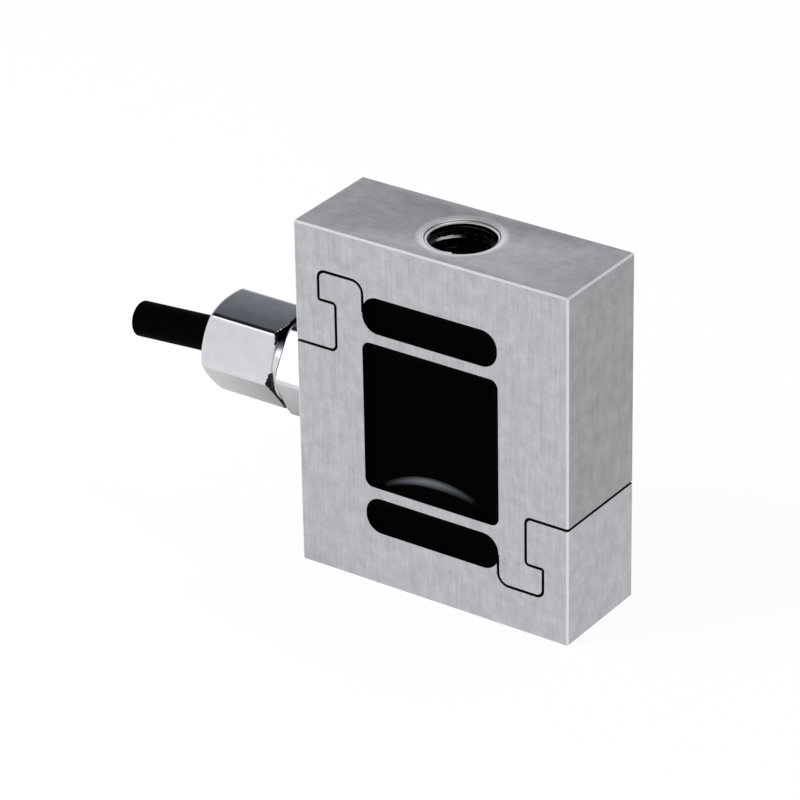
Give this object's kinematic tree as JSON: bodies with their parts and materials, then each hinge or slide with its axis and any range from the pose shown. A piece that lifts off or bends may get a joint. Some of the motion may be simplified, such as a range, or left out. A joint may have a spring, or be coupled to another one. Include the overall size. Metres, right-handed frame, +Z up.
{
  "type": "s type load cell",
  "caption": "S-shaped load cell: a slotted steel block with potted windows, overload slits, tapped ends and a side cable gland.",
  "frame": {"origin": "centre of the block's bottom face, on the load axis", "axes": "+Z up along the load axis, +X across the block's width with the cable gland on the -X side, +Y along its depth from front to back"},
  "size_m": [0.0896, 0.019, 0.061],
  "materials": {
    "body_steel": "fine ground nickel-plated alloy steel, matt",
    "potting": "glossy black silicone potting",
    "gland_metal": "bright nickel plate on brass",
    "seal_rubber": "black nitrile rubber",
    "claw_nylon": "natural nylon",
    "jacket": "black PVC, slightly glossy",
    "braid": "tinned copper braid",
    "filler": "cotton filler string",
    "board": "green glass-epoxy board",
    "pad_metal": "gold-flashed copper pads",
    "resistor": "black chip resistor",
    "gauge_carrier": "amber polyimide film",
    "gauge_metal": "etched constantan foil",
    "lead_wire": "enamelled copper wire",
    "insulation_red": "red core insulation",
    "insulation_black": "black core insulation",
    "insulation_green": "green core insulation",
    "insulation_white": "white core insulation",
    "conductor_metal": "tinned copper strands"
  },
  "bodies": {
    "root": {"board_pads": "pad_metal", "cable_filler": "filler", "cable_jacket": "jacket", "cable_shield": "braid", "centre_potting": "potting", "conductor_black": "conductor_metal", "conductor_green": "conductor_metal", "conductor_red": "conductor_metal", "conductor_white": "conductor_metal", "core_black": "insulation_black", "core_green": "insulation_green", "core_red": "insulation_red", "core_white": "insulation_white", "gauge_foil_lower_left": "gauge_metal", "gauge_foil_lower_right": "gauge_metal", "gauge_foil_upper_left": "gauge_metal", "gauge_foil_upper_right": "gauge_metal", "gauge_leads_lower_left": "lead_wire", "gauge_leads_lower_right": "lead_wire", "gauge_leads_upper_left": "lead_wire", "gauge_leads_upper_right": "lead_wire", "gland_body": "gland_metal", "gland_claw": "claw_nylon", "gland_nut": "gland_metal", "gland_o_ring": "seal_rubber", "gland_seal": "seal_rubber", "lower_potting": "potting", "output_resistor": "resistor", "sensing_body": "body_steel", "span_resistor": "resistor", "strain_gauge_lower_left": "gauge_carrier", "strain_gauge_lower_right": "gauge_carrier", "strain_gauge_upper_left": "gauge_carrier", "strain_gauge_upper_right": "gauge_carrier", "terminal_board": "board", "upper_potting": "potting", "zero_resistor": "resistor"}
  },
  "joints": []
}
